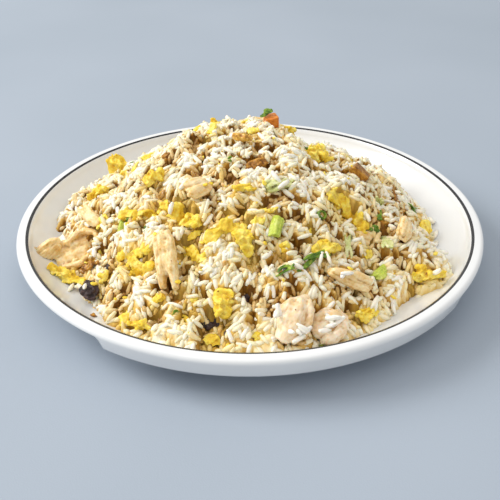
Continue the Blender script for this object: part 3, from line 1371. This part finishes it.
def scatter_foot(heap, rng):
    """Single grains that have rolled off the heap onto the plate."""
    heaped = (heap.outline > heap.ground + 0.8).astype(float)
    band = (widened(heaped, 12) > 0.5) & (heaped < 0.5)
    x, y = np.meshgrid(AXIS, AXIS, indexing="ij")
    band &= np.hypot(x, y) < LINE_RADIUS - 12.0
    points = np.stack((x, y, np.zeros(x.shape)), -1).reshape(-1, 3) / 16.0
    near = smoothed(heaped, 12).ravel()
    chance = band.ravel() * (0.05 + near) * np.clip(noise3(points, 41) + 0.35, 0.02, 1.0) ** 2
    picks = rng.choice(chance.size, size=FOOT_GRAINS, p=chance / chance.sum(), replace=False)
    return drop_some(heap, rng, picks)


def drop_some(heap, rng, picks):
    """Drop one grain on each of these cells of the map."""
    grains = []
    for pick in picks:
        x = AXIS[pick // MAP_COUNT]
        y = AXIS[pick % MAP_COUNT]
        grain = drop_grain(heap, rng, x, y, rng.uniform(*GRAIN_LENGTH), rng.uniform(*GRAIN_THICKNESS))
        if grain.z - 0.5 * grain.thick - abs(grain.slope) * 0.3 * grain.length < heap.ground.ravel()[pick]:
            grain = grain._replace(z=heap.ground.ravel()[pick] + 0.45 * grain.thick, slope=0.3 * grain.slope)
        stamp_grain(heap, grain, 0.5)
        grains.append(grain)
    return grains


def lay_piece(name, part, lying, material, slot, cover, node=None):
    verts, tris = part
    fibre = 0.5 + 0.35 * fibres(verts, 3)
    hollow = hollows(verts, tris)
    verts = verts @ lying.axes + lying.centre
    floor = well_height(np.hypot(verts[:, 0], verts[:, 1])) + 0.15
    verts[:, 2] = np.maximum(verts[:, 2], floor)
    cover.add(verts, slot == "egg")
    mesh = triangle_mesh(name, verts, tris)
    set_attribute(mesh, "fibre", fibre)
    set_attribute(mesh, "hollow", hollow)
    piece = new_object(name, mesh, material, slot)
    if node:
        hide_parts(node)
    return piece


# small pieces that lie on the rice, at x and y with a heading in degrees
Bit = namedtuple("Bit", "x y length width heading")
EGG_BITS = (
    Bit(-60, 40, 11, 8, 20),
    Bit(-30, 30, 10, 7, -30),
    Bit(-20, 14, 9, 7, 60),
    Bit(-80, -22, 10, 7, 30),
    Bit(-64, -28, 12, 9, -20),
    Bit(-72, 22, 9, 7, 0),
    Bit(2, 10, 9, 6, 40),
    Bit(-66, 14, 12, 5, 35),
    Bit(-53, 8, 5, 4, 0),
    Bit(-96, 12, 7, 5, 20),
    Bit(-60, -62, 8, 6, 20),
    Bit(-33, -61, 9, 5, 80),
    Bit(-44, -82, 8, 5, 10),
    Bit(-76, -56, 8, 6, 60),
    Bit(-62, -84, 9, 6, 60),
    Bit(-56, -90, 12, 4, 0),
    Bit(-31, -92, 14, 6, -5),
    Bit(-18, -102, 9, 7, -30),
    Bit(-11, -105, 5, 5, 0),
    Bit(3, -102, 6, 5, 60),
    Bit(-31, -78, 8, 5, 35),
    Bit(-23, -72, 5, 4, 0),
    Bit(-27, -87, 4, 3, 0),
    Bit(7, -51, 17, 7, -15),
    Bit(4, -58, 8, 5, 10),
    Bit(29, -52, 7, 6, 40),
    Bit(17, -67, 6, 6, 0),
    Bit(41, 36, 14, 10, 30),
    Bit(24, 27, 11, 6, -20),
    Bit(60, 42, 8, 5, 0),
    Bit(61, -50, 6, 5, 90),
    Bit(58, -81, 12, 6, 10),
    Bit(-12, -51, 6, 5, 0),
    Bit(-28, -56, 9, 4, 50),
    Bit(18, 88, 16, 9, 20),
    Bit(-64, 66, 13, 9, -20),
    Bit(70, 60, 10, 7, 60),
    Bit(-40, 92, 9, 6, 10),
    Bit(40, 90, 8, 6, 70),
    Bit(0, 45, 10, 6, 30),
)
CHICKEN_BITS = (
    Bit(59, -41, 10, 8, -20),
    Bit(-40, 84, 18, 11, 30),
    Bit(30, 70, 13, 8, -40),
)
BROWNED_BITS = (
    Bit(-85, -43, 12, 6, 15),
    Bit(-36, -84, 7, 5, 30),
    Bit(30, 12, 6, 5, 60),
    Bit(83, 5, 9, 5, -40),
    Bit(-46, 4, 5, 6, 80),
    Bit(-31, -21, 8, 6, 20),
    Bit(-11, -10, 11, 4, 5),
    Bit(6, -17, 8, 7, 70),
    Bit(13, -18, 7, 5, 20),
    Bit(-79, -77, 4, 3.5, 40),
    Bit(-52, -89, 6, 4, -10),
    Bit(-72, -22, 4, 3, 0),
    Bit(-20, 70, 7, 5, 50),
    Bit(60, 20, 5, 4, 10),
)
MUSHROOM_BITS = (
    Bit(-75, -48, 7, 5, 70),
    Bit(-20, -94, 12, 6, 5),
    Bit(-12, -98, 5, 4, 30),
    Bit(-2, -86, 7, 5, 10),
    Bit(67, 42, 6, 4, 0),
    Bit(58, -60, 8, 6, -20),
    Bit(30, 96, 8, 6, 0),
)
RING_BITS = (
    Bit(36, -45, 6, 5, 0),
    Bit(-10, -18, 3.4, 3, 30),
    Bit(-45, 60, 5, 4.5, 0),
)
LEAF_BITS = (
    Bit(69, -31, 11, 5, 100),
    Bit(94, 8, 8, 6, 120),
    Bit(65, -38, 7, 4, 0),
    Bit(16, -79, 13, 5, 25),
    Bit(-64, -30, 6, 4, 100),
    Bit(34, -103, 5.5, 3.5, 10),
    Bit(33, 24, 7, 4, -20),
    Bit(39, 20, 7, 3, 10),
    Bit(-53, -45, 5, 1.8, 30),
    Bit(-36, -92, 4, 1.8, 20),
    Bit(10, 75, 9, 5, 30),
    Bit(-70, 30, 6, 4, 80),
)
STALK_BITS = (
    Bit(-68, -32, 11, 5, 70),
    Bit(66, -57, 12, 5, 40),
    Bit(-20, 45, 8, 5, 60),
)
SHRED_BITS = (
    Bit(50, -52, 18, 6, 100),
    Bit(71, -43, 14, 7, 95),
    Bit(69, -19, 12, 6, 80),
    Bit(14, -35, 13, 7, 15),
)
CRUMB_SHAPES = 6
EGG_CRUMBS = 110
BROWN_CRUMBS = 120


# ragged outlines reach beyond the plain solids: along, across and up
GROWTH = {
    "egg": np.array((1.15, 1.2, 1.5)),
    "chicken": np.array((1.12, 1.12, 1.12)),
    "chicken_fork": np.array((1.1, 0.92, 1.2)),
    "greens": np.array((1.15, 1.15, 1.15)),
}


def food_look(name, stops, size, rough, bumps, glow, fibre=0.0, scale=1.4, radius=(1.0, 0.6, 0.35), creases=0.8):
    """The first stop's colour also fills the creases."""
    look = Look(name, IOR=1.42, **flesh(glow, scale, radius))
    tone = look.mix(0.35, look.noise(size, detail=3.0), look.noise(size * 0.3, detail=2.0))
    if fibre:
        tone = look.mix(fibre, tone, look.attribute("fibre"))
    crease = look.span(look.attribute("hollow"), 0.0, creases, 0.05, 0.8)
    look.colour(look.mix(crease, look.ramp(tone, stops), stops[0][1]))
    look.roughness(look.span(look.noise(2.0, detail=2.0), rough[0], rough[1]))
    look.bump(*[(look.noise(width, detail=2.0), height) for width, height in bumps])
    return look.material


def food_looks():
    return {
        "egg": food_look(
            "soft_egg",
            (
                (0.24, (0.58, 0.27, 0.015)),
                (0.35, (0.80, 0.52, 0.03)),
                (0.48, (0.88, 0.65, 0.06)),
                (0.64, (0.94, 0.80, 0.20)),
            ),
            6.5,
            (0.32, 0.6),
            ((0.9, 0.18), (0.35, 0.06)),
            0.25,
            radius=(1.0, 0.7, 0.15),
            creases=0.4,
        ),
        "chicken": food_look(
            "cooked_chicken",
            (
                (0.26, (0.42, 0.19, 0.03)),
                (0.38, (0.74, 0.46, 0.14)),
                (0.5, (0.86, 0.64, 0.31)),
                (0.66, (0.94, 0.81, 0.53)),
            ),
            4.0,
            (0.25, 0.5),
            ((1.1, 0.2), (0.4, 0.06)),
            0.25,
            fibre=0.3,
            radius=(1.0, 0.5, 0.3),
        ),
        "pale_chicken": food_look(
            "pale_chicken",
            (
                (0.26, (0.55, 0.28, 0.07)),
                (0.4, (0.82, 0.58, 0.29)),
                (0.54, (0.91, 0.75, 0.54)),
                (0.68, (0.95, 0.86, 0.72)),
            ),
            7.0,
            (0.25, 0.5),
            ((1.1, 0.14), (0.4, 0.05)),
            0.3,
            fibre=0.2,
            radius=(1.0, 0.5, 0.3),
        ),
        "carrot": food_look(
            "carrot",
            ((0.35, (0.50, 0.13, 0.012)), (0.55, (0.74, 0.24, 0.03)), (0.7, (0.84, 0.36, 0.07))),
            2.6,
            (0.25, 0.5),
            ((0.7, 0.1),),
            0.3,
        ),
        "golden": food_look(
            "golden_brown",
            ((0.33, (0.30, 0.11, 0.012)), (0.5, (0.66, 0.36, 0.05)), (0.68, (0.86, 0.60, 0.17))),
            3.0,
            (0.25, 0.5),
            ((0.8, 0.12),),
            0.2,
        ),
        "browned": food_look(
            "browned",
            ((0.35, (0.14, 0.05, 0.006)), (0.52, (0.40, 0.17, 0.015)), (0.68, (0.68, 0.37, 0.06))),
            3.0,
            (0.25, 0.5),
            ((0.8, 0.12),),
            0.2,
        ),
        "mushroom": food_look(
            "dark_mushroom",
            ((0.35, (0.016, 0.009, 0.009)), (0.55, (0.05, 0.028, 0.028)), (0.72, (0.14, 0.08, 0.075))),
            2.2,
            (0.3, 0.6),
            ((0.7, 0.2),),
            0.0,
        ),
        "stalk": food_look(
            "pale_green_stalk",
            ((0.35, (0.36, 0.47, 0.04)), (0.52, (0.56, 0.64, 0.09)), (0.7, (0.78, 0.80, 0.28))),
            3.6,
            (0.2, 0.4),
            ((0.8, 0.08),),
            0.3,
            radius=(0.7, 1.0, 0.3),
        ),
        "leaf": food_look(
            "green_leaf",
            ((0.33, (0.025, 0.07, 0.006)), (0.5, (0.12, 0.23, 0.013)), (0.68, (0.40, 0.50, 0.05))),
            3.4,
            (0.2, 0.42),
            ((0.8, 0.08),),
            0.15,
            radius=(0.6, 1.0, 0.3),
        ),
        "shred": food_look(
            "pale_cabbage",
            ((0.33, (0.46, 0.50, 0.14)), (0.52, (0.70, 0.71, 0.34)), (0.7, (0.86, 0.85, 0.58))),
            4.0,
            (0.2, 0.4),
            ((0.9, 0.1),),
            0.4,
            radius=(0.8, 1.0, 0.5),
        ),
    }


def build_food(heap, cover):
    rng = np.random.default_rng(7)
    looks = food_looks()
    special = {
        "chicken_01": folded_chicken,
        "chicken_05": chicken_chunk,
        "chicken_06": chicken_chunk,
        "chicken_fork": forked_chicken,
        "carrot_03": egg_body,
        "greens_02": leaf_body,
        "greens_03": leaf_body,
        "greens_top": leaf_body,
        "greens_04": shred_body,
    }
    bodies = {
        "egg": egg_body,
        "chicken": chicken_body,
        "carrot": dice_body,
        "mushroom": mushroom_body,
        "greens": stalk_body,
    }
    look_of = {
        "chicken_05": "pale_chicken",
        "chicken_06": "pale_chicken",
        "carrot_02": "browned",
        "carrot_03": "golden",
        "mushroom_02": "browned",
        "greens_01": "stalk",
        "greens_02": "leaf",
        "greens_03": "stalk",
        "greens_top": "leaf",
        "greens_04": "shred",
    }
    slots = {"greens": "spring_onion"}
    for node in sorted(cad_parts):
        family = node.split("_")[0]
        if family not in bodies:
            continue
        lying = laid(heap, LAID[node]) if node in LAID else lying_of_node(node)
        grown = lying.size if node in LAID else lying.size * GROWTH.get(node, GROWTH.get(family, 1.0))
        part = special.get(node, bodies[family])(rng, *grown)
        if node in STRIPS:
            part = egg_strips(heap, rng, STRIPS[node])
            lying = Lying(np.zeros(3), np.eye(3), None)
        look = looks[look_of.get(node, family)]
        lay_piece("shaped_" + node, part, lying, look, slots.get(family, family), cover, node)
    groups = (
        ("egg", EGG_BITS, egg_body, "egg", 0.55, 0.2),
        ("chicken", CHICKEN_BITS, chicken_body, "chicken", 0.6, 0.3),
        ("browned", BROWNED_BITS, egg_body, "carrot", 0.7, 0.4),
        ("mushroom", MUSHROOM_BITS, mushroom_body, "mushroom", 0.6, 0.55),
        ("ring", RING_BITS, ring_body, "spring_onion", 0.5, 0.1),
        ("leaf", LEAF_BITS, leaf_body, "spring_onion", 0.5, 0.1),
        ("stalk", STALK_BITS, stalk_body, "spring_onion", 0.6, 0.1),
        ("shred", SHRED_BITS, shred_body, "spring_onion", 0.4, 0.1),
    )
    looks["ring"] = looks["leaf"]
    for kind, bits, body, slot, flatness, sink in groups:
        for k, bit in enumerate(bits, start=1):
            size = (bit.length, bit.width, max(2.2, flatness * bit.width))
            lying = lying_on_heap(heap, bit.x, bit.y, bit.heading, size, sink)
            lay_piece(f"{kind}_bit_{k:02d}", body(rng, *size), lying, looks[kind], slot, cover)
    heap.stain = np.clip(smoothed(widened(cover.egg, 3), 14), 0.0, 0.8)
    return looks


def scatter_crumbs(heap, name, count, size, material, slot, seed):
    """Small torn bits, lying wherever the pile is open to the sky."""
    rng = np.random.default_rng(seed)
    shapes = [flake(rng, 1.0, 0.8, 0.36, 0.1, 0.1, rings=3, spokes=9) for _ in range(CRUMB_SHAPES)]
    heaped = (heap.outline > heap.ground + 1.5).ravel()
    picks = rng.choice(heaped.size, size=count, p=heaped / heaped.sum())
    verts = []
    tris = []
    first = 0
    for pick in picks:
        points, faces = shapes[rng.integers(CRUMB_SHAPES)]
        across = size[0] + (size[1] - size[0]) * rng.random() ** 2
        place = (AXIS[pick // MAP_COUNT], AXIS[pick % MAP_COUNT], heap.pile.ravel()[pick] + 0.1 * across)
        turned, faces = moved((points * across, faces), place, rng.uniform(0, 360), rng.normal(0, 30), rng.normal(0, 30))
        verts.append(turned)
        tris.append(faces + first)
        first += len(points)
    mesh = triangle_mesh(name, np.concatenate(verts), np.concatenate(tris))
    return new_object(name, mesh, material, slot)


# ------------------------------------------------------------------------------- staging
def cloth_look():
    look = Look("pale_floor", Roughness=0.75)
    tone = look.noise(260.0, detail=2.0)
    look.colour(look.ramp(tone, ((0.3, (0.33, 0.385, 0.455)), (0.7, (0.37, 0.425, 0.5)))))
    look.bump((look.noise(0.8, detail=2.0), 0.05))
    return look.material


def build_floor():
    mesh = bpy.data.meshes.new("floor")
    half = 3.0
    mesh.from_pydata([(-half, -half, 0), (half, -half, 0), (half, half, 0), (-half, half, 0)], [], [(0, 1, 2, 3)])
    floor = new_object("floor", mesh, cloth_look())


def area_light(name, place, target, size, power, colour):
    light = bpy.data.lights.new(name, "AREA")
    light.shape = "RECTANGLE"
    light.size, light.size_y = size
    light.energy = power
    light.color = colour
    thing = bpy.data.objects.new(name, light)
    bpy.context.scene.collection.objects.link(thing)
    thing.location = place
    thing.rotation_euler = (Vector(target) - Vector(place)).to_track_quat("-Z", "Y").to_euler()


def build_lights():
    area_light("window", (-2.2, 0.3, 1.7), (0, 0, 0.03), (1.5, 1.5), 62.0, (1.0, 0.985, 0.96))
    area_light("ceiling", (0.0, -0.7, 2.2), (0, 0, 0), (2.0, 2.0), 12.0, (1.0, 0.99, 0.98))
    world = bpy.data.worlds.new("room")
    world.use_nodes = True
    world.node_tree.nodes["Background"].inputs["Color"].default_value = (1.0, 0.985, 0.955, 1.0)
    world.node_tree.nodes["Background"].inputs["Strength"].default_value = 0.7
    bpy.context.scene.world = world


def build_camera():
    camera = bpy.data.objects.new("camera", bpy.data.cameras.new("camera"))
    bpy.context.scene.collection.objects.link(camera)
    camera.data.lens = LENS
    camera.data.sensor_width = 36.0
    camera.data.clip_start = 0.01
    tilt = Matrix.Rotation(math.radians(90.0 - CAMERA_PITCH), 4, "X")
    roll = Matrix.Rotation(math.radians(CAMERA_ROLL), 4, "Z")
    camera.matrix_world = Matrix.Translation(CAMERA_PLACE) @ tilt @ roll
    bpy.context.scene.camera = camera
    bpy.context.scene.view_settings.view_transform = "Standard"


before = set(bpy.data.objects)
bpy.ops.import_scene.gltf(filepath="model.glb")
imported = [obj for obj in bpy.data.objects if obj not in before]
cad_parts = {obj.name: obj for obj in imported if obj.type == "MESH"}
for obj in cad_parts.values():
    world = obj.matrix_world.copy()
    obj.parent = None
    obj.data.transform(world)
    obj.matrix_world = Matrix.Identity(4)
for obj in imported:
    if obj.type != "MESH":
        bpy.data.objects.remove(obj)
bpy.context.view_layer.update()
build_camera()
build_lights()
build_floor()
build_plate()
heap = Heap()
cover = Cover()
looks = build_food(heap, cover)
build_rice(heap, cover)
scatter_crumbs(heap, "egg_crumbs", EGG_CRUMBS, (1.2, 4.0), looks["egg"], "egg", 51)
scatter_crumbs(heap, "brown_crumbs", BROWN_CRUMBS, (0.6, 1.8), looks["browned"], "carrot", 52)
